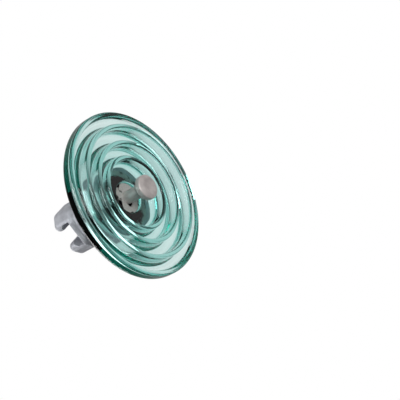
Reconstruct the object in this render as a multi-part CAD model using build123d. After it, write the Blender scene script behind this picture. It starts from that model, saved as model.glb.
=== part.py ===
"""Cap-and-pin suspension insulator unit: a toughened glass shell for a 20 mm ball-and-socket coupling.

The frame is that of the hanging unit. +Z is the insulator's axis and points up through the cap, the socket's
slot opens towards -Y, and the origin is where the ball of the unit above bears in the cap's socket. All
sizes are in millimetres.
"""

import os
from math import sqrt, tan, radians

from build123d import *

# Coupling and overall sizes
SPACING = 146.0  # from the socket's bearing level to the ball's
SHELL_DIAMETER = 280.0
SHANK_DIAMETER = 21.0
BALL_DIAMETER = 41.0
BALL_HEIGHT = 19.5  # from the bearing level to the ball's end face
BALL_BELOW_RIM = 9.5  # the ball's bearing level, below the rim's lower edge

# Socket: a turned seat, and a T-slot that leads to it from the front
NECK_WIDTH = 24.0
SOCKET_WIDTH = 43.0
SOCKET_DEPTH = 25.0  # from the bearing level to the floor
SILL_HEIGHT = 3.2  # the front sill, above the floor
LIP_DROP = 1.5  # the slot's lips hang this far below the bearing level, so a seated ball can't slide out
SHOULDER_DROP = 12.5  # where the slot reaches its full width, below the bearing level
SHOULDER_CORNER = 6.0
FLOOR_CORNER = 2.5
SEAT_SPHERE = 24.0  # radius of the ball's bearing face and of its seat

# Cap: radii of its outline, from the top down, and the bell inside it
SOCKET_ROOF = 10.0  # over the bearing level
SOCKET_FLOOR_WALL = 11.0
CAP_TOP_RADIUS = 37.5
CAP_TOP_CORNER = 9.0
CAP_WAIST_RADIUS = 39.5
CAP_WAIST_DROP = 12.0
CAP_SILL_RADIUS = 44.0
CAP_SHOULDER_RADIUS = 57.0
CAP_SHOULDER_HEIGHT = 74.0  # above the rim
CAP_SKIRT_RADIUS = 62.0
CAP_SKIRT_BAND = 10.0
CAP_SKIRT_HEIGHT = 47.0  # lower edge, above the rim
CAP_WALL = 8.5
CAP_MOUTH_INSET = 2.5  # the bell's mouth is this much narrower than its widest part
CAP_LOCKING_HEIGHT = 60.0  # the bell's widest part, above the rim

# Glass shell: heights are above the rim's lower edge
RIM_WIDTH = 9.0
RIM_BAND = 17.0
RIM_CORNER = 4.2
RIM_DRAFT = 12.0  # degrees, on the rim's inner face
SHED_ROOT_RADIUS = 66.0  # where the sloping top meets the flat under the cap's skirt
SHED_ROOT_HEIGHT = 41.0
HEAD_NECK_RADIUS = 38.0
HEAD_NECK_HEIGHT = 54.0
HEAD_BULB_RADIUS = 42.0
HEAD_BULB_HEIGHT = 82.0
HEAD_CROWN_INSET = 8.0
CAVITY_MOUTH_RADIUS = 25.5
CAVITY_BULB_RADIUS = 29.0
CAVITY_BULB_HEIGHT = 74.0
CAVITY_CROWN_INSET = 9.0
HEAD_CROWN_WALL = 13.0
CAVITY_LIP = 4.0  # rounding of the glass at the cavity's mouth

# Ribs under the shed, outermost first: tip radius, depth below the rim, ceiling height inside the rib
RIBS = (
    (111.0, 11.0, 16.0),
    (84.0, 8.0, 18.0),
    (60.0, 2.5, 18.0),
)
RIM_CEILING = 13.0  # height of the groove between the rim and the outermost rib
RIB_TIP_WIDTH = 7.0
RIB_DRAFT = 5.0  # degrees on each flank
GROOVE_CORNER = 5.0

# Pin
BALL_END_SPHERE = 45.0
BALL_END_FLAT = 13.0  # radius of the flat in the middle of the end face
BALL_CORNER = 2.5
SHANK_FILLET = 4.0
PIN_STEP_RADIUS = 15.5
PIN_STEP_HEIGHT = 46.0  # top of the lower cone, above the rim
PIN_HEAD_RADIUS = 19.5
PIN_CONE_LENGTH = 16.0
PIN_NECK_RADIUS = 11.5  # between the two cones
CEMENT_FACE_HEIGHT = 22.5  # the inner cement's lower face, above the rim

# Cushions that take the glass head's and the pin's expansion
HEAD_CUSHION_THICKNESS = 3.0
HEAD_CUSHION_RADIUS = 30.0
PIN_CUSHION_THICKNESS = 4.0
PIN_CUSHION_RADIUS = 15.5

# Split-pin clip of half-round wire: its two legs together fill a round hole in the cap's back wall
CLIP_RADIUS = 2.5
CLIP_GAP = 0.2  # between the legs
CLIP_CLEARANCE = 0.3
CLIP_BACK_GAP = 3.0  # from the cap's back to the eye, when the clip is pushed home
CLIP_EYE_RADIUS = 9.0
CLIP_HUMP = 4.0  # sideways swell of each leg
CLIP_HUMP_LENGTH = 8.0
CLIP_LEG_END = -8.0  # Y of the leg tips, when the clip is pushed home

RIM = BALL_BELOW_RIM - SPACING  # Z of the rim's lower edge
BALL_END = -SPACING - BALL_HEIGHT
SOCKET_FLOOR = -SOCKET_DEPTH
BELL_CEILING = SOCKET_FLOOR - SOCKET_FLOOR_WALL
HEAD_TOP = BELL_CEILING - HEAD_CUSHION_THICKNESS
CAVITY_TOP = HEAD_TOP - HEAD_CROWN_WALL
PIN_TOP = CAVITY_TOP - PIN_CUSHION_THICKNESS
CEMENT_FACE = RIM + CEMENT_FACE_HEIGHT
INNER_CEILING = RIM + RIBS[-1][2]
SHELL_RADIUS = SHELL_DIAMETER / 2
CLIP_Z = SOCKET_FLOOR + CLIP_RADIUS + CLIP_CLEARANCE


def face_of(rows):
    """Face in the XZ plane from (radius, z, corner radius) rows."""
    outline = FilletPolyline(*[row[:2] for row in rows], radius=[row[2] for row in rows], close=True)
    return make_face(Plane.XZ * outline)


def turned(rows):
    """Solid turned about Z from a closed half-section."""
    return revolve(face_of(rows), Axis.Z)


def disc(radius, low, high):
    """Round disc about Z between two heights."""
    return Pos(0, 0, low) * Cylinder(radius, high - low, align=(Align.CENTER, Align.CENTER, Align.MIN))


def sphere_drop(sphere_radius, radius):
    """Height from a sphere's centre to its circle of the given radius."""
    return sqrt(sphere_radius**2 - radius**2)


# ---- glass shell ----


def shell_top_rows():
    """The shell's outside, from the head's crown down to the rim's band."""
    return [
        (0, HEAD_TOP, 0),
        (HEAD_BULB_RADIUS - HEAD_CROWN_INSET, HEAD_TOP, 10),
        (HEAD_BULB_RADIUS, RIM + HEAD_BULB_HEIGHT, 9),
        (HEAD_NECK_RADIUS, RIM + HEAD_NECK_HEIGHT, 12),
        (HEAD_NECK_RADIUS + 3, RIM + SHED_ROOT_HEIGHT + 4, 6),
        (SHED_ROOT_RADIUS, RIM + SHED_ROOT_HEIGHT, 40),
        (SHELL_RADIUS, RIM + RIM_BAND + 3, 9),
    ]


def shell_underside_rows():
    """The rim, the ribs and the grooves between them, from the outside in."""
    rim_slope = tan(radians(RIM_DRAFT))
    rib_slope = tan(radians(RIB_DRAFT))
    half_tip = RIB_TIP_WIDTH / 2
    tip_corner = 0.9 * half_tip
    ceiling = RIM_CEILING
    rows = [
        (SHELL_RADIUS, RIM, RIM_CORNER),
        (SHELL_RADIUS - RIM_WIDTH, RIM, RIM_CORNER),
        (SHELL_RADIUS - RIM_WIDTH - ceiling * rim_slope, RIM + ceiling, GROOVE_CORNER),
    ]
    for tip_radius, depth, next_ceiling in RIBS:
        outer_root = half_tip + (depth + ceiling) * rib_slope
        inner_root = half_tip + (depth + next_ceiling) * rib_slope
        rows += [
            (tip_radius + outer_root, RIM + ceiling, GROOVE_CORNER),
            (tip_radius + half_tip, RIM - depth, tip_corner),
            (tip_radius - half_tip, RIM - depth, tip_corner),
            (tip_radius - inner_root, RIM + next_ceiling, GROOVE_CORNER),
        ]
        ceiling = next_ceiling
    return rows


def cavity_rows():
    """The hollow inside the glass head, from its mouth up to its crown."""
    return [
        (CAVITY_MOUTH_RADIUS, INNER_CEILING, CAVITY_LIP),
        (CAVITY_BULB_RADIUS, RIM + CAVITY_BULB_HEIGHT, 5),
        (CAVITY_BULB_RADIUS - CAVITY_CROWN_INSET, CAVITY_TOP, 8),
        (0, CAVITY_TOP, 0),
    ]


def glass_shell():
    """Pressed shell in one piece: hollow head, sloping shed with an upright rim, and ribs under it."""
    return turned(shell_top_rows() + shell_underside_rows() + cavity_rows())


# ---- pin and what holds it ----


def ball():
    """The pin's coupling ball: a short cylinder between the bearing sphere and a flatter end sphere."""
    bearing_centre = -SPACING - sphere_drop(SEAT_SPHERE, NECK_WIDTH / 2)
    end_centre = BALL_END + sphere_drop(BALL_END_SPHERE, BALL_END_FLAT)
    blank = disc(BALL_DIAMETER / 2, BALL_END, -SPACING + SHANK_FILLET)
    shape = blank & Pos(0, 0, bearing_centre) * Sphere(SEAT_SPHERE) & Pos(0, 0, end_centre) * Sphere(BALL_END_SPHERE)
    rim_edges = [e for e in shape.edges().filter_by(GeomType.CIRCLE) if abs(e.radius - BALL_DIAMETER / 2) < 0.01]
    return fillet(rim_edges, BALL_CORNER)


def pin():
    """Forged pin: ball, shank, and the stepped cones that the cement grips."""
    shank_radius = SHANK_DIAMETER / 2
    step_top = RIM + PIN_STEP_HEIGHT
    stem = turned(
        [
            (0, BALL_END + BALL_HEIGHT / 2, 0),
            (shank_radius, BALL_END + BALL_HEIGHT / 2, 0),
            (shank_radius, step_top - PIN_CONE_LENGTH / 2, 4),
            (PIN_STEP_RADIUS, step_top, 1.5),
            (PIN_NECK_RADIUS, step_top + 3, 2),
            (PIN_NECK_RADIUS, PIN_TOP - PIN_CONE_LENGTH - 4, 4),
            (PIN_HEAD_RADIUS, PIN_TOP - 4, 2),
            (PIN_HEAD_RADIUS - 4, PIN_TOP, 2),
            (0, PIN_TOP, 0),
        ]
    )
    whole = stem + ball()
    root = [
        e
        for e in whole.edges().filter_by(GeomType.CIRCLE)
        if abs(e.radius - shank_radius) < 0.01 and abs(e.arc_center.Z + SPACING) < SHANK_FILLET
    ]
    return fillet(root, SHANK_FILLET)


def pin_cushion():
    """Soft disc between the pin's head and the crown of the cavity."""
    return disc(PIN_CUSHION_RADIUS, PIN_TOP, CAVITY_TOP)


def pin_cement():
    """Cement that fills the glass cavity round the pin."""
    hollow = turned([*cavity_rows(), (0, INNER_CEILING, 0)])
    return hollow & disc(SHELL_RADIUS, CEMENT_FACE, CAVITY_TOP) - pin() - pin_cushion()


# ---- cap and what holds it ----


def bell_rows():
    """The inside of the cap's bell, from its ceiling down to the skirt's lower edge."""
    skirt_inside = CAP_SKIRT_RADIUS - CAP_WALL - CAP_MOUTH_INSET
    return [
        (0, BELL_CEILING, 0),
        (CAP_SILL_RADIUS - CAP_WALL, BELL_CEILING, 8),
        (CAP_SHOULDER_RADIUS - CAP_WALL, RIM + CAP_SHOULDER_HEIGHT + 4, 16),
        (skirt_inside + CAP_MOUTH_INSET - 1, RIM + CAP_LOCKING_HEIGHT, 6),
        (skirt_inside, RIM + CAP_SKIRT_HEIGHT, 0),
        (0, RIM + CAP_SKIRT_HEIGHT, 0),
    ]


def slot_rows(floor):
    """Half of the T-slot's outline, from its floor up past the roof."""
    return [
        (0, floor, 0),
        (SOCKET_WIDTH / 2, floor, FLOOR_CORNER),
        (SOCKET_WIDTH / 2, -SHOULDER_DROP, SHOULDER_CORNER),
        (NECK_WIDTH / 2 + 1, -LIP_DROP, 2),
        (NECK_WIDTH / 2, -LIP_DROP + 3, 2),
        (NECK_WIDTH / 2, SOCKET_ROOF + 1, 0),
        (0, SOCKET_ROOF + 1, 0),
    ]


def socket_space():
    """The room for the mating ball and shank: a turned seat with a spherical roof, and the slot to it."""
    socket_radius = SOCKET_WIDTH / 2
    sphere_centre = -sphere_drop(SEAT_SPHERE, NECK_WIDTH / 2)
    roof_height = sphere_centre + sphere_drop(SEAT_SPHERE, socket_radius)
    seat = turned([(0, SOCKET_FLOOR, 0), (socket_radius, SOCKET_FLOOR, FLOOR_CORNER), (socket_radius, 0, 0), (0, 0, 0)])
    above_ball = disc(socket_radius, roof_height, 0) & Pos(0, 0, sphere_centre) * Sphere(SEAT_SPHERE)
    seat = (seat & disc(SHELL_RADIUS, SOCKET_FLOOR, roof_height)) + above_ball
    neck = disc(NECK_WIDTH / 2, roof_height, SOCKET_ROOF + 1)
    half_slot = extrude(face_of(slot_rows(SOCKET_FLOOR + SILL_HEIGHT)), CAP_SKIRT_RADIUS)
    return seat + neck + half_slot + mirror(half_slot, Plane.YZ)


def clip_hole():
    """Round hole through the cap's back wall, for the split-pin clip."""
    radius = CLIP_RADIUS + CLIP_CLEARANCE
    return Pos(0, 0, CLIP_Z) * extrude(Plane.XZ * Circle(radius), -CAP_SKIRT_RADIUS)


def cap():
    """Cast cap: a bell over the glass head, and above it the socket with its two lips."""
    skirt = RIM + CAP_SKIRT_HEIGHT
    body = turned(
        [
            (0, SOCKET_ROOF, 0),
            (CAP_TOP_RADIUS, SOCKET_ROOF, CAP_TOP_CORNER),
            (CAP_WAIST_RADIUS, -CAP_WAIST_DROP, 60),
            (CAP_SILL_RADIUS, BELL_CEILING + 4, 30),
            (CAP_SHOULDER_RADIUS, RIM + CAP_SHOULDER_HEIGHT, 24),
            (CAP_SKIRT_RADIUS - 3, skirt + CAP_SKIRT_BAND + 4, 6),
            (CAP_SKIRT_RADIUS, skirt + CAP_SKIRT_BAND, 3),
            (CAP_SKIRT_RADIUS, skirt, 3),
            (0, skirt, 0),
        ]
    )
    return body - turned(bell_rows()) - socket_space() - clip_hole()


def head_cushion():
    """Soft disc between the glass head's crown and the cap."""
    return disc(HEAD_CUSHION_RADIUS, HEAD_TOP, BELL_CEILING)


def cap_cement():
    """Cement between the glass head and the cap's bell."""
    head = turned([*shell_top_rows(), (SHELL_RADIUS, RIM, 0), (0, RIM, 0)])
    return turned(bell_rows()) - head - head_cushion()


# ---- locking clip ----


def clip_path():
    """The line of the wire's flat side: up one leg, round the eye and back down the other leg."""
    leg = CLIP_GAP / 2
    hump = leg + CLIP_HUMP
    eye_root = CAP_SILL_RADIUS + CLIP_BACK_GAP
    eye_side = eye_root + CLIP_EYE_RADIUS * 0.7
    eye_top = eye_side + CLIP_EYE_RADIUS * 1.15
    half = [
        (leg + 1, CLIP_LEG_END, 0),
        (hump, CLIP_LEG_END + CLIP_HUMP_LENGTH * 0.75, 4),
        (leg, CLIP_LEG_END + CLIP_HUMP_LENGTH * 1.75, 5),
        (leg, eye_root, 3.2),
        (CLIP_EYE_RADIUS, eye_side, 6),
        (CLIP_EYE_RADIUS, eye_top, CLIP_EYE_RADIUS - 0.2),
    ]
    rows = half + [(-x, y, corner) for x, y, corner in reversed(half)]
    return FilletPolyline(*[row[:2] for row in rows], radius=[row[2] for row in rows[1:-1]])


def locking_clip():
    """Split pin bent from half-round wire, with its flat side inwards."""
    path = Pos(0, 0, CLIP_Z) * clip_path()
    start = Plane(origin=path @ 0, x_dir=(0, 0, 1), z_dir=path % 0)
    arc = ThreePointArc((CLIP_RADIUS, 0), (0, CLIP_RADIUS), (-CLIP_RADIUS, 0))
    section = make_face(arc + Line((-CLIP_RADIUS, 0), (CLIP_RADIUS, 0)))
    return sweep(start * section, path=path)


PIECES = (
    glass_shell,
    cap,
    cap_cement,
    head_cushion,
    pin,
    pin_cement,
    pin_cushion,
    locking_clip,
)

os.makedirs("parts", exist_ok=True)
for piece in PIECES:
    export_step(piece(), f"parts/{piece.__name__}.step")
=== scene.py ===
"""Finishes and studio for a cap-and-pin insulator: pressed green glass, galvanised fittings, cement.

The frame is the hanging unit's own: metres, +Z up through the cap, and the origin where the ball of the unit
above bears in the cap's socket.
"""

import math

import bpy
from bpy.props import FloatProperty, FloatVectorProperty, PointerProperty, StringProperty
from mathutils import Matrix, Vector


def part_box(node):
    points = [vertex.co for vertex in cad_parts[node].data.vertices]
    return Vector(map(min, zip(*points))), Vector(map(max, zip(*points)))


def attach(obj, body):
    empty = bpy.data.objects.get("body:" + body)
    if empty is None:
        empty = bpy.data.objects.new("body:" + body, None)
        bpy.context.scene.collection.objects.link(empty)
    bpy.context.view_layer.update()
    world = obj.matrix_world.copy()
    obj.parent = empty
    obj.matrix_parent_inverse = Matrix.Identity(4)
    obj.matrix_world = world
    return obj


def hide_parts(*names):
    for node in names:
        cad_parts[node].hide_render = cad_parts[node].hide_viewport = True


bl_info = {
    "name": "Cap-and-pin suspension insulator",
    "version": (1, 0, 0),
    "blender": (4, 5, 0),
    "location": "3D View > Sidebar > Insulator",
    "description": "Dresses a glass disc insulator in its real finishes and sets up a plain studio",
    "category": "Object",
}

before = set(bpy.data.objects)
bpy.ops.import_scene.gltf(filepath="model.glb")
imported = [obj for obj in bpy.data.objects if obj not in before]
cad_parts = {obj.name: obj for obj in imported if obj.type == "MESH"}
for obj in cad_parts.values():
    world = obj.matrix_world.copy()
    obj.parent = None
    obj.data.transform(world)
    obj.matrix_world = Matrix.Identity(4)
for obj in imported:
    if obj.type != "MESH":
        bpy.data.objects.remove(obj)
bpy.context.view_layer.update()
MM = 0.001

BALL_BOTTOM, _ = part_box("pin")
_, SHELL_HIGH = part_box("glass_shell")
CAP_LOW, CAP_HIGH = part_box("cap")
CEMENT_LOW, CEMENT_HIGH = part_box("pin_cement")
CLIP_LOW, CLIP_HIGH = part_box("locking_clip")
BALL_BELOW_RIM = 9.5 * MM
BALL_HEIGHT = 19.5 * MM
RIM = BALL_BOTTOM.z + BALL_HEIGHT + BALL_BELOW_RIM  # height of the rim's lower edge


# ---- colours and nodes ----


def colour(hex_code):
    """Linear RGBA from an sRGB hex code."""

    def linear(pair):
        value = int(pair, 16) / 255
        return value / 12.92 if value <= 0.04045 else ((value + 0.055) / 1.055) ** 2.4

    code = hex_code.lstrip("#")
    return (linear(code[0:2]), linear(code[2:4]), linear(code[4:6]), 1.0)


def add_node(tree, kind, settings=(), inputs=(), links=()):
    """Adds a node, sets its attributes and input values, and links sockets into its inputs."""
    node = tree.nodes.new(kind)
    for name, value in dict(settings).items():
        setattr(node, name, value)
    for name, value in dict(inputs).items():
        node.inputs[name].default_value = value
    for name, socket in dict(links).items():
        tree.links.new(socket, node.inputs[name])
    return node


def new_material(name):
    """Empty node material and its output node."""
    material = bpy.data.materials.new(name)
    material.use_nodes = True
    tree = material.node_tree
    tree.nodes.clear()
    return material, tree, tree.nodes.new("ShaderNodeOutputMaterial")


def per_metre(size_mm):
    """Noise scale whose features are about this many millimetres across."""
    return 1 / (size_mm * MM)


def ramp(tree, factor, stops, interpolation="LINEAR"):
    """Colour ramp through (position, hex code) stops."""
    node = add_node(tree, "ShaderNodeValToRGB", links={"Fac": factor})
    node.color_ramp.interpolation = interpolation
    while len(node.color_ramp.elements) < len(stops):
        node.color_ramp.elements.new(0.5)
    for element, (position, code) in zip(node.color_ramp.elements, stops):
        element.position = position
        element.color = colour(code)
    return node


# ---- settings ----


class GlassSettings(bpy.types.PropertyGroup):
    """Sizes and colour of the pressed glass shell."""

    shell_radius: FloatProperty(
        name="Shell radius", description="Outer radius of the rim", default=140 * MM, unit="LENGTH"
    )
    rim_width: FloatProperty(name="Rim width", description="Wall at the rim", default=9 * MM, unit="LENGTH")
    rim_band: FloatProperty(
        name="Rim band", description="Height of the rim's upright face", default=17 * MM, unit="LENGTH"
    )
    head_radius: FloatProperty(
        name="Head radius", description="Widest radius of the hollow head", default=42 * MM, unit="LENGTH"
    )
    rib_radii: FloatVectorProperty(
        name="Rib radii", description="Tip radius of each rib, from the outside in", size=3,
        default=(111 * MM, 84 * MM, 60 * MM), unit="LENGTH",
    )
    rib_depths: FloatVectorProperty(
        name="Rib depths", description="How far each rib hangs below the rim", size=3,
        default=(11 * MM, 8 * MM, 2.5 * MM), unit="LENGTH",
    )
    tint: StringProperty(name="Tint", description="Glass colour, sRGB hex", default="#61D6CF")
    density: FloatProperty(name="Density", description="Absorption per metre", default=27.0, min=0)


class CapSettings(bpy.types.PropertyGroup):
    """Sizes of the cast cap's head and of the socket in it."""

    head_radius: FloatProperty(
        name="Head radius", description="Radius of the head's round back", default=39 * MM, unit="LENGTH"
    )
    head_edge: FloatProperty(
        name="Head edge", description="Rounding of the head's top edge", default=7 * MM, unit="LENGTH"
    )
    lip_reach: FloatProperty(
        name="Lip reach", description="From the axis to the front of the lips, before they are rounded",
        default=50.5 * MM, unit="LENGTH",
    )
    neck_width: FloatProperty(
        name="Neck width", description="Way between the lips, for the shank", default=24 * MM, unit="LENGTH"
    )
    socket_width: FloatProperty(
        name="Socket width", description="Room for the ball", default=43 * MM, unit="LENGTH"
    )
    clip_hole: FloatProperty(
        name="Clip hole", description="Radius of the hole in the back wall", default=3.1 * MM, unit="LENGTH"
    )
    grain: FloatProperty(
        name="Casting grain", description="Facets that soften the casting's edges", default=0.9 * MM,
        unit="LENGTH",
    )


class MetalSettings(bpy.types.PropertyGroup):
    """Colours of the galvanised cap and pin and of the stainless clip."""

    cap_light: StringProperty(name="Cap zinc, light", description="sRGB hex", default="#C3C5CB")
    cap_dark: StringProperty(name="Cap zinc, dark", description="sRGB hex", default="#A1A3AB")
    pin_light: StringProperty(name="Pin zinc, light", description="sRGB hex", default="#DED7D4")
    pin_dark: StringProperty(name="Pin zinc, dark", description="sRGB hex", default="#B8B0AE")
    clip: StringProperty(name="Clip steel", description="sRGB hex", default="#C8C6C0")


class FillSettings(bpy.types.PropertyGroup):
    """Colours of the cement and of the bitumen film on it."""

    cement: StringProperty(name="Cement", description="sRGB hex", default="#CACBC7")
    bitumen: StringProperty(name="Bitumen", description="sRGB hex", default="#08060A")


class StudioSettings(bpy.types.PropertyGroup):
    """Where the camera stands and how the studio is lit."""

    azimuth: FloatProperty(
        name="Azimuth", description="Camera's turn about the unit, from the slot's side",
        default=math.radians(13), subtype="ANGLE",
    )
    elevation: FloatProperty(
        name="Elevation", description="Camera's height angle; negative looks up from below",
        default=math.radians(-38.7), subtype="ANGLE",
    )
    roll: FloatProperty(
        name="Roll", description="Turn of the picture about the line of sight", default=math.radians(118.6),
        subtype="ANGLE",
    )
    distance: FloatProperty(
        name="Distance", description="From the camera to the rim's centre", default=3.0, unit="LENGTH"
    )
    picture_width: FloatProperty(
        name="Picture width", description="What the picture's width spans at the rim", default=632 * MM,
        unit="LENGTH",
    )
    picture_shift: FloatVectorProperty(
        name="Picture shift", description="Moves the unit left and up in the picture, in picture widths",
        size=2, default=(0.158, -0.0185),
    )
    dark_tilt: FloatProperty(
        name="Dark side's tilt", description="How far the dark side leans to the lower left", default=1.1
    )
    dark_edge: FloatVectorProperty(
        name="Dark side's edge", description="Where the surround turns from dark to white along its axis",
        size=2, default=(-0.6, 0.5),
    )
    dark_level: FloatProperty(name="Dark side's light", description="Brightness left there", default=0.1)
    mirrored_share: FloatProperty(
        name="Mirrored surround", description="Brightness of the surround in surface reflections",
        default=0.45,
    )
    floor_drop: FloatProperty(
        name="Floor drop", description="From the ball down to the floor", default=2.2, unit="LENGTH"
    )


# ---- turned meshes ----


def rounded(rows, step_degrees=6):
    """Points of an outline whose corners are rounded, each as (radius, z, normal's radius, normal's z)."""
    points = []
    last = len(rows) - 1
    for index, (x, z, corner) in enumerate(rows):
        here = Vector((x, z))
        before = Vector(rows[index - 1][:2]) if index else None
        after = Vector(rows[index + 1][:2]) if index < last else None
        if before is None or after is None or corner == 0:
            along = (after - here) if before is None else (here - before)
            along.normalize()
            points.append((x, z, -along.y, along.x))
            continue
        arrive = (here - before).normalized()
        leave = (after - here).normalized()
        turn = math.atan2(arrive.x * leave.y - arrive.y * leave.x, arrive.dot(leave))
        setback = corner * math.tan(abs(turn) / 2)
        start = here - arrive * setback
        side = math.copysign(1, turn)
        centre = start + Vector((-arrive.y, arrive.x)) * corner * side
        count = max(2, math.ceil(abs(math.degrees(turn)) / step_degrees))
        for k in range(count + 1):
            angle = turn * k / count
            along = Matrix.Rotation(angle, 2) @ arrive
            spot = centre + Vector((along.y, -along.x)) * corner * side
            points.append((spot.x, spot.y, -along.y, along.x))
    return points


def spun(name, points, segments=256):
    """Mesh object turned about Z from an outline that starts and ends on the axis, with exact normals."""
    vertices, normals, rings = [], [], []
    for radius, z, normal_radius, normal_z in points:
        ring = []
        count = 1 if radius == 0 else segments
        for k in range(count):
            angle = 2 * math.pi * k / segments
            vertices.append((radius * math.cos(angle), radius * math.sin(angle), z))
            flat = normal_radius if radius else 0
            normals.append(Vector((flat * math.cos(angle), flat * math.sin(angle), normal_z)).normalized())
            ring.append(len(vertices) - 1)
        rings.append(ring)
    faces = []
    for upper, lower in zip(rings, rings[1:]):
        for k in range(segments):
            nxt = (k + 1) % segments
            down = [upper[k % len(upper)], lower[k % len(lower)]]
            back = [lower[nxt % len(lower)], upper[nxt % len(upper)]]
            faces.append(list(dict.fromkeys(down + back)))
    mesh = bpy.data.meshes.new(name)
    mesh.from_pydata(vertices, [], faces)
    mesh.polygons.foreach_set("use_smooth", [True] * len(faces))
    mesh.normals_split_custom_set_from_vertices(normals)
    mesh.update()
    piece = bpy.data.objects.new(name, mesh)
    bpy.context.collection.objects.link(piece)
    return piece


def stacked(name, outline, levels):
    """Closed mesh through copies of a closed outline, one for each (height, inset), from the bottom up."""
    loop = [
        point for point, last in zip(outline, outline[-1:] + outline) if math.dist(point[:2], last[:2]) > 1e-6
    ]
    count = len(loop)
    vertices = [
        (x - across * inset, y - up * inset, height) for height, inset in levels for x, y, across, up in loop
    ]
    faces = [tuple(range(count)), tuple(reversed(range(len(vertices) - count, len(vertices))))]
    for base in range(0, len(vertices) - count, count):
        for k in range(count):
            nxt = (k + 1) % count
            faces.append((base + k, base + count + k, base + count + nxt, base + nxt))
    mesh = bpy.data.meshes.new(name)
    mesh.from_pydata(vertices, [], faces)
    mesh.update()
    piece = bpy.data.objects.new(name, mesh)
    bpy.context.collection.objects.link(piece)
    return piece


def cast(name, body, added, cut, grain):
    """One casting from a body with others added and cut away, its edges softened as in a sand mould."""
    for operation, others in (("UNION", added), ("DIFFERENCE", cut)):
        for other in others:
            step = body.modifiers.new(other.name, "BOOLEAN")
            step.operation = operation
            step.object = other
            step.solver = "EXACT"
    voxels = body.modifiers.new("Voxels", "REMESH")
    voxels.mode = "VOXEL"
    voxels.voxel_size = grain
    soften = body.modifiers.new("Soften", "SMOOTH")
    soften.factor = 0.5
    soften.iterations = 5
    fewer = body.modifiers.new("Fewer", "DECIMATE")
    fewer.ratio = 0.4
    evaluated = body.evaluated_get(bpy.context.evaluated_depsgraph_get())
    mesh = bpy.data.meshes.new_from_object(evaluated)
    mesh.name = name
    mesh.polygons.foreach_set("use_smooth", [True] * len(mesh.polygons))
    piece = bpy.data.objects.new(name, mesh)
    bpy.context.collection.objects.link(piece)
    for part in (body, *added, *cut):
        bpy.data.objects.remove(part)
    return piece


def in_metres(rows):
    """Rows of millimetres, in metres."""
    return [tuple(value * MM for value in row) for row in rows]


def in_mm(length):
    """A setting's length in millimetres, without what its single precision adds."""
    return round(length / MM, 4)


# ---- materials ----


def pressed_glass(settings):
    """Toughened soda-lime glass, pressed in an iron mould: clear, with faint waves that bend the view."""
    material, tree, output = new_material("Toughened soda-lime glass, pressed")
    place = add_node(tree, "ShaderNodeTexCoord")
    waves = add_node(
        tree, "ShaderNodeTexNoise", inputs={"Scale": per_metre(28), "Detail": 1.5, "Roughness": 0.45},
        links={"Vector": place.outputs["Object"]},
    )
    bump = add_node(
        tree, "ShaderNodeBump", inputs={"Strength": 0.35, "Distance": 0.6 * MM},
        links={"Height": waves.outputs["Fac"]},
    )
    surface = add_node(
        tree, "ShaderNodeBsdfPrincipled",
        inputs={
            "Base Color": (1, 1, 1, 1), "Roughness": 0.04, "IOR": 1.52, "Transmission Weight": 1.0,
        },
        links={"Normal": bump.outputs["Normal"]},
    )
    body = add_node(
        tree, "ShaderNodeVolumeAbsorption",
        inputs={"Color": colour(settings.tint), "Density": settings.density},
    )
    tree.links.new(surface.outputs["BSDF"], output.inputs["Surface"])
    tree.links.new(body.outputs["Volume"], output.inputs["Volume"])
    return material


def galvanised(name, light, dark, grain_mm, gloss):
    """Hot-dip zinc on iron: matt, mottled in soft patches, over the fine grain of the casting or forging."""
    material, tree, output = new_material(name)
    place = add_node(tree, "ShaderNodeTexCoord")
    patches = add_node(
        tree, "ShaderNodeTexNoise", inputs={"Scale": per_metre(16), "Detail": 4.0, "Roughness": 0.6},
        links={"Vector": place.outputs["Object"]},
    )
    tone = ramp(tree, patches.outputs["Fac"], ((0.3, dark), (0.68, light)))
    grain = add_node(
        tree, "ShaderNodeTexNoise", inputs={"Scale": per_metre(grain_mm), "Detail": 3.0, "Roughness": 0.65},
        links={"Vector": place.outputs["Object"]},
    )
    bump = add_node(
        tree, "ShaderNodeBump", inputs={"Strength": 0.5, "Distance": 0.25 * MM},
        links={"Height": grain.outputs["Fac"]},
    )
    shine = add_node(
        tree, "ShaderNodeMapRange", inputs={"To Min": gloss - 0.1, "To Max": gloss + 0.12},
        links={"Value": patches.outputs["Fac"]},
    )
    surface = add_node(
        tree, "ShaderNodeBsdfPrincipled", inputs={"Metallic": 0.55},
        links={
            "Base Color": tone.outputs["Color"], "Roughness": shine.outputs["Result"],
            "Normal": bump.outputs["Normal"],
        },
    )
    tree.links.new(surface.outputs["BSDF"], output.inputs["Surface"])
    return material


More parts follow.
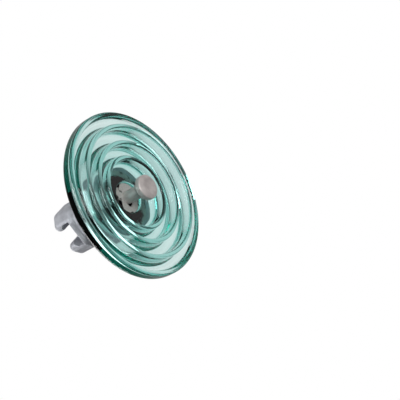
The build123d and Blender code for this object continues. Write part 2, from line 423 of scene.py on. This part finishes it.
def cement(name, settings, bare_below):
    """Portland cement, pale in patches where it is open to the air, and black with bitumen elsewhere."""
    material, tree, output = new_material(name)
    place = add_node(tree, "ShaderNodeTexCoord")
    grit = add_node(
        tree, "ShaderNodeTexNoise", inputs={"Scale": per_metre(1.6), "Detail": 5.0, "Roughness": 0.7},
        links={"Vector": place.outputs["Object"]},
    )
    split = add_node(tree, "ShaderNodeSeparateXYZ", links={"Vector": place.outputs["Object"]})
    open_face = add_node(
        tree, "ShaderNodeMath", settings={"operation": "LESS_THAN"}, inputs={1: bare_below},
        links={0: split.outputs["Z"]},
    )
    smears = add_node(
        tree, "ShaderNodeTexNoise", inputs={"Scale": per_metre(17), "Detail": 2.0, "Roughness": 0.5},
        links={"Vector": place.outputs["Object"]},
    )
    wiped = add_node(
        tree, "ShaderNodeMapRange", inputs={"From Min": 0.44, "From Max": 0.5},
        links={"Value": smears.outputs["Fac"]},
    )
    bare = add_node(
        tree, "ShaderNodeMath", settings={"operation": "MULTIPLY"},
        links={0: open_face.outputs["Value"], 1: wiped.outputs["Result"]},
    )
    tone = ramp(tree, grit.outputs["Fac"], ((0.3, "#8E8F8B"), (0.7, settings.cement)))
    mix = add_node(
        tree, "ShaderNodeMix", settings={"data_type": "RGBA"},
        links={"Factor": bare.outputs["Value"], "B": tone.outputs["Color"]},
    )
    mix.inputs["A"].default_value = colour(settings.bitumen)
    sheen = add_node(
        tree, "ShaderNodeMapRange", inputs={"To Min": 0.0, "To Max": 0.5},
        links={"Value": bare.outputs["Value"]},
    )
    bump = add_node(
        tree, "ShaderNodeBump", inputs={"Strength": 0.6, "Distance": 0.4 * MM},
        links={"Height": grit.outputs["Fac"]},
    )
    surface = add_node(
        tree, "ShaderNodeBsdfPrincipled", inputs={"Roughness": 0.75},
        links={
            "Base Color": mix.outputs["Result"], "Specular IOR Level": sheen.outputs["Result"],
            "Normal": bump.outputs["Normal"],
        },
    )
    tree.links.new(surface.outputs["BSDF"], output.inputs["Surface"])
    return material


def bitumen_pad(settings):
    """Cork-and-bitumen disc: black and dull."""
    material, tree, output = new_material("Cork and bitumen pad")
    place = add_node(tree, "ShaderNodeTexCoord")
    crumb = add_node(
        tree, "ShaderNodeTexNoise", inputs={"Scale": per_metre(2), "Detail": 3.0},
        links={"Vector": place.outputs["Object"]},
    )
    tone = ramp(tree, crumb.outputs["Fac"], ((0.35, settings.bitumen), (0.75, "#3A2F2B")))
    surface = add_node(
        tree, "ShaderNodeBsdfPrincipled", inputs={"Roughness": 0.8},
        links={"Base Color": tone.outputs["Color"]},
    )
    tree.links.new(surface.outputs["BSDF"], output.inputs["Surface"])
    return material


def drawn_wire(settings):
    """Stainless wire, drawn: bright, with fine lines along it."""
    material, tree, output = new_material("Stainless steel wire, drawn")
    place = add_node(tree, "ShaderNodeTexCoord")
    stretch = add_node(
        tree, "ShaderNodeMapping", inputs={"Scale": (1, 0.1, 1)}, links={"Vector": place.outputs["Object"]}
    )
    lines = add_node(
        tree, "ShaderNodeTexNoise", inputs={"Scale": per_metre(0.5), "Detail": 2.0},
        links={"Vector": stretch.outputs["Vector"]},
    )
    shine = add_node(
        tree, "ShaderNodeMapRange", inputs={"To Min": 0.22, "To Max": 0.4},
        links={"Value": lines.outputs["Fac"]},
    )
    surface = add_node(
        tree, "ShaderNodeBsdfPrincipled", inputs={"Base Color": colour(settings.clip), "Metallic": 1.0},
        links={"Roughness": shine.outputs["Result"]},
    )
    tree.links.new(surface.outputs["BSDF"], output.inputs["Surface"])
    return material


def finish_node(name, material):
    """Gives a carried-over solid its finish."""
    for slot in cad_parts[name].material_slots:
        slot.material = material


# ---- pieces ----

WETTED = 0.2 * MM  # how far the glass reaches into the cement, so that no air gap shows between them
HEAD_TOP = SHELL_HIGH.z
CAVITY_TOP = CEMENT_HIGH.z
RIM_CORNER = 4.2 * MM
RIM_CEILING = 13 * MM
RIM_DRAFT = math.tan(math.radians(12))
RIB_DRAFT = math.tan(math.radians(5))
RIB_HALF_TIP = 3.5 * MM
RIB_CEILINGS = (16 * MM, 18 * MM, 18 * MM)
GROOVE_CORNER = 5 * MM

# Heights in the shell, above the rim's lower edge, and radii beside them
HEAD_BULB_HEIGHT = 82 * MM
HEAD_NECK_HEIGHT = 54 * MM
HEAD_NECK_RADIUS = 38 * MM
HEAD_CROWN_INSET = 8 * MM
SHED_ROOT_HEIGHT = 41 * MM
SHED_ROOT_RADIUS = 66 * MM
CAVITY_BULB_HEIGHT = 74 * MM
CAVITY_BULB_RADIUS = 29 * MM
CAVITY_MOUTH_RADIUS = 25.5 * MM
CAVITY_CROWN_INSET = 9 * MM


def shell_rows(glass):
    """Outline of the shell: head, shed and rim outside, then ribs and grooves, then the head's hollow."""
    outer = glass.shell_radius
    head = glass.head_radius + WETTED
    inner = outer - glass.rim_width
    rows = [
        (0, HEAD_TOP + WETTED, 0),
        (head - HEAD_CROWN_INSET, HEAD_TOP + WETTED, 10 * MM),
        (head, RIM + HEAD_BULB_HEIGHT, 9 * MM),
        (HEAD_NECK_RADIUS + WETTED, RIM + HEAD_NECK_HEIGHT, 12 * MM),
        (HEAD_NECK_RADIUS + 3 * MM, RIM + SHED_ROOT_HEIGHT + 4 * MM, 6 * MM),
        (SHED_ROOT_RADIUS, RIM + SHED_ROOT_HEIGHT, 40 * MM),
        (outer, RIM + glass.rim_band + 3 * MM, 9 * MM),
        (outer, RIM, RIM_CORNER),
        (inner, RIM, RIM_CORNER),
        (inner - RIM_CEILING * RIM_DRAFT, RIM + RIM_CEILING, GROOVE_CORNER),
    ]
    ceiling = RIM_CEILING
    for tip, depth, next_ceiling in zip(glass.rib_radii, glass.rib_depths, RIB_CEILINGS):
        outer_root = RIB_HALF_TIP + (depth + ceiling) * RIB_DRAFT
        inner_root = RIB_HALF_TIP + (depth + next_ceiling) * RIB_DRAFT
        rows += [
            (tip + outer_root, RIM + ceiling, GROOVE_CORNER),
            (tip + RIB_HALF_TIP, RIM - depth, 0.9 * RIB_HALF_TIP),
            (tip - RIB_HALF_TIP, RIM - depth, 0.9 * RIB_HALF_TIP),
            (tip - inner_root, RIM + next_ceiling, GROOVE_CORNER),
        ]
        ceiling = next_ceiling
    mouth = CAVITY_MOUTH_RADIUS - WETTED
    bulb = CAVITY_BULB_RADIUS - WETTED
    rows += [
        (mouth, RIM + ceiling, 4 * MM),
        (bulb, RIM + CAVITY_BULB_HEIGHT, 5 * MM),
        (bulb - CAVITY_CROWN_INSET, CAVITY_TOP - WETTED, 8 * MM),
        (0, CAVITY_TOP - WETTED, 0),
    ]
    return rows


class INSULATOR_OT_glass_shell(bpy.types.Operator):
    """Turns the pressed glass shell and gives it its green glass"""

    bl_idname = "insulator.glass_shell"
    bl_label = "Glass shell"

    def execute(self, context):
        glass = context.scene.insulator_glass
        shell = spun("glass_shell_pressed", rounded(shell_rows(glass)))
        shell.data.materials.append(pressed_glass(glass))
        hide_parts("glass_shell")
        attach(shell, "unit")
        return {"FINISHED"}


# Heights in the cap, in millimetres from where the ball bears
SOCKET_FLOOR = -25
SLOT_FLOOR = -23.2
HEAD_BOTTOM = -31
SILL_BOTTOM = -40
NECK_TOP = 12
SKIRT = CAP_LOW.z / MM

SEAT_SPHERE = 24  # radius of the seat's roof, in millimetres
SEAT_CENTRE = -20.78  # height of its centre
SEAT_TURNS = (0.56, 0.68, 0.80, 0.92, 1.02, 1.11)  # radians from the axis, where its arc has points
ARCH_RADIUS = 25  # roof of the slot, in millimetres
ARCH_CENTRE = -23.8
ARCH_SPRING = -11.1  # height at which the arch meets the slot's walls
ARCH_STEPS = 40
FLOOR_CORNER = 2.5
EDGE_STEPS = 8
CUTTER_LENGTH = 70  # past the cap's widest part


def cap_body():
    """The cap's bell, turned, up to where its head begins."""
    return spun("bell", rounded(in_metres([
        (0, -11, 0), (38, -11, 2), (40, -16, 12), (44, -32, 30), (57, SKIRT + 27, 24), (59, SKIRT + 14, 6),
        (62, SKIRT + 10, 3), (62, SKIRT, 3), (0, SKIRT, 0),
    ])), segments=192)


def mirrored(half):
    """Closed outline from the half of it to the right of the slot, given clockwise from the back."""
    return half + [(-x, y, corner) for x, y, corner in reversed(half)]


def cap_head(cap):
    """The socket's head: round at the back, with two rounded lips that reach forward beside the neck."""
    side, reach, neck = in_mm(cap.head_radius), in_mm(cap.lip_reach), in_mm(cap.neck_width / 2)
    outline = rounded(in_metres(mirrored([
        (0, side, 0), (side, side, side), (side, 19 - reach, 11), (26, 6 - reach, 8), (neck, -reach, 8.5),
        (neck, neck, neck),
    ])))
    edge = in_mm(cap.head_edge) * MM
    levels = in_metres([(HEAD_BOTTOM, 3), (HEAD_BOTTOM + 3, 0.8), (HEAD_BOTTOM + 5, 0)])
    for k in range(EDGE_STEPS + 1):
        turn = math.radians(90 * k / EDGE_STEPS)
        levels.append((CAP_HIGH.z - edge * (1 - math.sin(turn)), edge * (1 - math.cos(turn))))
    return stacked("head", outline, levels)


def cap_sill(cap):
    """The shelf in front of the socket, which carries the lips and runs out into the bell."""
    side = in_mm(cap.head_radius)
    outline = rounded(in_metres(mirrored([(0, side, 0), (side, side, side), (side, -33, 12), (22, -47, 18)])))
    levels = in_metres([
        (SILL_BOTTOM, 9), (SILL_BOTTOM + 4, 5), (SILL_BOTTOM + 9, 1.8), (SILL_BOTTOM + 13, 0.3),
        (SOCKET_FLOOR, 0), (SLOT_FLOOR, 0),
    ])
    return stacked("sill", outline, levels)


def cap_cavity():
    """Room for the cement inside the bell."""
    _, cement_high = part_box("cap_cement")
    ceiling, widest = cement_high.z / MM, cement_high.x / MM
    mouth = widest - 2.5
    return spun("cavity", rounded(in_metres([
        (0, ceiling, 0), (35.5, ceiling, 8), (widest, SKIRT + 13, 8), (mouth, SKIRT, 0),
        (mouth, SKIRT - 1, 0), (0, SKIRT - 1, 0),
    ])), segments=192)


def seat(cap):
    """Room for the mating ball, with a spherical roof, and the neck over it."""
    neck, wall = in_mm(cap.neck_width / 2), in_mm(cap.socket_width / 2)
    arc = [
        (SEAT_SPHERE * math.sin(turn), SEAT_SPHERE * math.cos(turn) + SEAT_CENTRE, 0) for turn in SEAT_TURNS
    ]
    return spun("seat", rounded(in_metres([
        (0, NECK_TOP, 0), (neck, NECK_TOP, 0), (neck, -0.1, 0), *arc, (wall, SOCKET_FLOOR, FLOOR_CORNER),
        (0, SOCKET_FLOOR, 0),
    ])), segments=128)


def slot(cap):
    """Way in for the ball, from the front: the lowered ball's own outline, with room round it."""
    wall = in_mm(cap.socket_width / 2)
    turns = [math.radians(120 * k / ARCH_STEPS - 60) for k in range(1, ARCH_STEPS)]
    arch = [(ARCH_RADIUS * math.sin(turn), ARCH_RADIUS * math.cos(turn) + ARCH_CENTRE) for turn in turns]
    outline = [(-wall, SLOT_FLOOR), (-wall, ARCH_SPRING), *arch, (wall, ARCH_SPRING), (wall, SLOT_FLOOR)]
    section = [(*point, 0, 0) for point in in_metres(outline)]
    cutter = stacked("slot", section, in_metres([(0, 0), (CUTTER_LENGTH, 0)]))
    cutter.rotation_euler.x = math.radians(90)
    return cutter


def clip_hole(cap):
    """Round hole for the split-pin clip, through the back wall."""
    radius = in_mm(cap.clip_hole)
    rows = [(0, CUTTER_LENGTH, 0), (radius, CUTTER_LENGTH, 0), (radius, 0, 0), (0, 0, 0)]
    cutter = spun("clip_hole", rounded(in_metres(rows)), segments=32)
    cutter.rotation_euler.x = math.radians(-90)
    cutter.location.z = (CLIP_LOW.z + CLIP_HIGH.z) / 2
    return cutter


class INSULATOR_OT_cap(bpy.types.Operator):
    """Casts the galvanised cap: a bell, a head with two lips, and the ball's socket and slot"""

    bl_idname = "insulator.cap"
    bl_label = "Cap"

    def execute(self, context):
        metal = context.scene.insulator_metal
        cap = context.scene.insulator_cap
        casting = cast(
            "cap_casting", cap_body(), added=[cap_head(cap), cap_sill(cap)],
            cut=[cap_cavity(), seat(cap), slot(cap), clip_hole(cap)], grain=cap.grain,
        )
        casting.data.materials.clear()
        casting.data.materials.append(
            galvanised("Malleable iron, hot-dip galvanised", metal.cap_light, metal.cap_dark, 1.4, 0.55)
        )
        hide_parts("cap")
        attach(casting, "unit")
        return {"FINISHED"}


class INSULATOR_OT_pin(bpy.types.Operator):
    """Gives the forged pin its galvanised finish"""

    bl_idname = "insulator.pin"
    bl_label = "Pin"

    def execute(self, context):
        metal = context.scene.insulator_metal
        zinc = galvanised("Forged steel, hot-dip galvanised", metal.pin_light, metal.pin_dark, 0.8, 0.5)
        finish_node("pin", zinc)
        return {"FINISHED"}


class INSULATOR_OT_fillings(bpy.types.Operator):
    """Gives both cements and both pads their finishes"""

    bl_idname = "insulator.fillings"
    bl_label = "Cement and pads"

    def execute(self, context):
        fill = context.scene.insulator_fill
        skin = 0.3 * MM
        finish_node("cap_cement", cement("Portland cement, cap joint", fill, CAP_LOW.z + skin))
        finish_node("pin_cement", cement("Portland cement, pin joint", fill, CEMENT_LOW.z + skin))
        pad = bitumen_pad(fill)
        finish_node("head_cushion", pad)
        finish_node("pin_cushion", pad)
        return {"FINISHED"}


class INSULATOR_OT_clip(bpy.types.Operator):
    """Gives the split-pin clip its drawn stainless finish"""

    bl_idname = "insulator.clip"
    bl_label = "Locking clip"

    def execute(self, context):
        finish_node("locking_clip", drawn_wire(context.scene.insulator_metal))
        return {"FINISHED"}


# ---- stage ----


LAMPS = (  # name, direction from the rim's centre, distance, size and watts
    ("Key lamp", (0.6, -0.9, 0.35), 2.2, 1.4, 34),
    ("Top lamp", (-0.4, -0.2, 1.0), 2.2, 1.6, 22),
    ("Low lamp", (0.5, -0.5, -0.75), 2.4, 1.2, 30),
)
PLAIN_SHARE = 0.55  # of the surround's light, as it falls on matt surfaces


def area_lamp(name, direction, distance, size, power, target):
    """Soft square lamp that looks at the target from a direction."""
    data = bpy.data.lights.new(name, "AREA")
    data.shape = "SQUARE"
    data.size = size
    data.energy = power
    lamp = bpy.data.objects.new(name, data)
    bpy.context.collection.objects.link(lamp)
    away = Vector(direction).normalized()
    lamp.location = target + away * distance
    lamp.rotation_euler = away.to_track_quat("Z", "Y").to_euler()
    return lamp


def picture_axes(studio):
    """Unit vectors to the picture's right, to its top, and from the camera to the unit."""
    level = Vector((math.cos(studio.azimuth), math.sin(studio.azimuth), 0))
    ahead = Vector((-level.y, level.x, 0))
    sight = ahead * math.cos(studio.elevation) - Vector((0, 0, 1)) * math.sin(studio.elevation)
    upright = level.cross(sight)
    right = level * math.cos(studio.roll) - upright * math.sin(studio.roll)
    up = level * math.sin(studio.roll) + upright * math.cos(studio.roll)
    return right, up, sight


class INSULATOR_OT_stage(bpy.types.Operator):
    """Adds the floor, the white surround, the lamps and the camera"""

    bl_idname = "insulator.stage"
    bl_label = "Studio"

    def execute(self, context):
        studio = context.scene.insulator_studio
        target = Vector((0, 0, RIM))
        self.add_floor(studio)
        self.add_world(context.scene, studio)
        for lamp in LAMPS:
            area_lamp(*lamp, target)
        self.add_camera(context.scene, studio, target)
        context.scene.view_settings.view_transform = "Standard"
        # Light runs round inside the rim and the ribs, so it is followed further than usual.
        cycles = context.scene.cycles
        cycles.max_bounces = 32
        cycles.transmission_bounces = 32
        cycles.glossy_bounces = 20
        return {"FINISHED"}

    def add_floor(self, studio):
        """Plain pale floor, well below the hanging unit; only the camera sees it."""
        half = 6.0
        height = BALL_BOTTOM.z - studio.floor_drop
        corners = [(x * half, y * half, height) for x, y in ((-1, -1), (1, -1), (1, 1), (-1, 1))]
        mesh = bpy.data.meshes.new("floor")
        mesh.from_pydata(corners, [], [(0, 1, 2, 3)])
        floor = bpy.data.objects.new("floor", mesh)
        bpy.context.collection.objects.link(floor)
        material, tree, output = new_material("Pale studio floor")
        surface = add_node(
            tree, "ShaderNodeBsdfPrincipled",
            inputs={
                "Base Color": colour("#E9E9E9"), "Roughness": 0.8, "Emission Color": (1, 1, 1, 1),
                "Emission Strength": 0.5,
            },
        )
        tree.links.new(surface.outputs["BSDF"], output.inputs["Surface"])
        mesh.materials.append(material)
        floor.visible_transmission = False
        floor.visible_glossy = False
        floor.visible_diffuse = False

    def add_world(self, scene, studio):
        """White surround, seen through glass and mirrored too, but for the dark room behind the camera."""
        world = bpy.data.worlds.new("Studio")
        scene.world = world
        world.use_nodes = True
        tree = world.node_tree
        tree.nodes.clear()
        path = add_node(tree, "ShaderNodeLightPath")
        place = add_node(tree, "ShaderNodeTexCoord")
        right, up, sight = picture_axes(studio)
        bright_side = (sight + (right + up) * studio.dark_tilt).normalized()
        along = add_node(
            tree, "ShaderNodeVectorMath", settings={"operation": "DOT_PRODUCT"},
            inputs={1: bright_side}, links={0: place.outputs["Generated"]},
        )
        room = add_node(
            tree, "ShaderNodeMapRange", settings={"interpolation_type": "SMOOTHSTEP"},
            inputs={
                "From Min": studio.dark_edge[0], "From Max": studio.dark_edge[1],
                "To Min": studio.dark_level, "To Max": 1.0,
            },
            links={"Value": along.outputs["Value"]},
        )
        shone_through = add_node(
            tree, "ShaderNodeMapRange", inputs={"To Min": PLAIN_SHARE, "To Max": 1.0},
            links={"Value": path.outputs["Is Transmission Ray"]},
        )
        share = add_node(
            tree, "ShaderNodeMath", settings={"operation": "MULTIPLY_ADD"},
            inputs={1: studio.mirrored_share - PLAIN_SHARE},
            links={0: path.outputs["Is Glossy Ray"], 2: shone_through.outputs["Result"]},
        )
        soft = add_node(
            tree, "ShaderNodeMath", settings={"operation": "MULTIPLY"},
            links={0: share.outputs["Value"], 1: room.outputs["Result"]},
        )
        strength = add_node(
            tree, "ShaderNodeMath", settings={"operation": "MAXIMUM"},
            links={0: path.outputs["Is Camera Ray"], 1: soft.outputs["Value"]},
        )
        sky = add_node(
            tree, "ShaderNodeBackground", inputs={"Color": (1, 1, 1, 1)},
            links={"Strength": strength.outputs["Value"]},
        )
        add_node(tree, "ShaderNodeOutputWorld", links={"Surface": sky.outputs["Background"]})

    def add_camera(self, scene, studio, target):
        """Camera that looks up at the underside, rolled so that the pin points up and to the right."""
        data = bpy.data.cameras.new("Camera")
        camera = bpy.data.objects.new("Camera", data)
        bpy.context.collection.objects.link(camera)
        right, up, sight = picture_axes(studio)
        turn = Matrix((right, up, -sight)).transposed()
        camera.matrix_world = Matrix.Translation(target - sight * studio.distance) @ turn.to_4x4()
        data.lens = data.sensor_width * studio.distance / studio.picture_width
        data.shift_x, data.shift_y = studio.picture_shift
        scene.camera = camera


class INSULATOR_PT_panel(bpy.types.Panel):
    """Lists the insulator's settings and steps"""

    bl_idname = "INSULATOR_PT_panel"
    bl_label = "Suspension insulator"
    bl_space_type = "VIEW_3D"
    bl_region_type = "UI"
    bl_category = "Insulator"

    def draw(self, context):
        layout = self.layout
        for group_name in GROUPS:
            group = getattr(context.scene, group_name)
            for name in group.__annotations__:
                layout.prop(group, name)
        for operator in OPERATORS:
            layout.operator(operator.bl_idname)


GROUPS = {
    "insulator_glass": GlassSettings,
    "insulator_cap": CapSettings,
    "insulator_metal": MetalSettings,
    "insulator_fill": FillSettings,
    "insulator_studio": StudioSettings,
}
OPERATORS = (
    INSULATOR_OT_glass_shell,
    INSULATOR_OT_cap,
    INSULATOR_OT_pin,
    INSULATOR_OT_fillings,
    INSULATOR_OT_clip,
    INSULATOR_OT_stage,
)


def register():
    for group_name, group in GROUPS.items():
        bpy.utils.register_class(group)
        setattr(bpy.types.Scene, group_name, PointerProperty(type=group))
    for operator in OPERATORS:
        bpy.utils.register_class(operator)
    bpy.utils.register_class(INSULATOR_PT_panel)


def unregister():
    bpy.utils.unregister_class(INSULATOR_PT_panel)
    for operator in reversed(OPERATORS):
        bpy.utils.unregister_class(operator)
    for group_name, group in reversed(GROUPS.items()):
        delattr(bpy.types.Scene, group_name)
        bpy.utils.unregister_class(group)


def main():
    register()
    bpy.ops.insulator.glass_shell()
    bpy.ops.insulator.cap()
    bpy.ops.insulator.pin()
    bpy.ops.insulator.fillings()
    bpy.ops.insulator.clip()
    bpy.ops.insulator.stage()


if __name__ == "__main__":
    main()
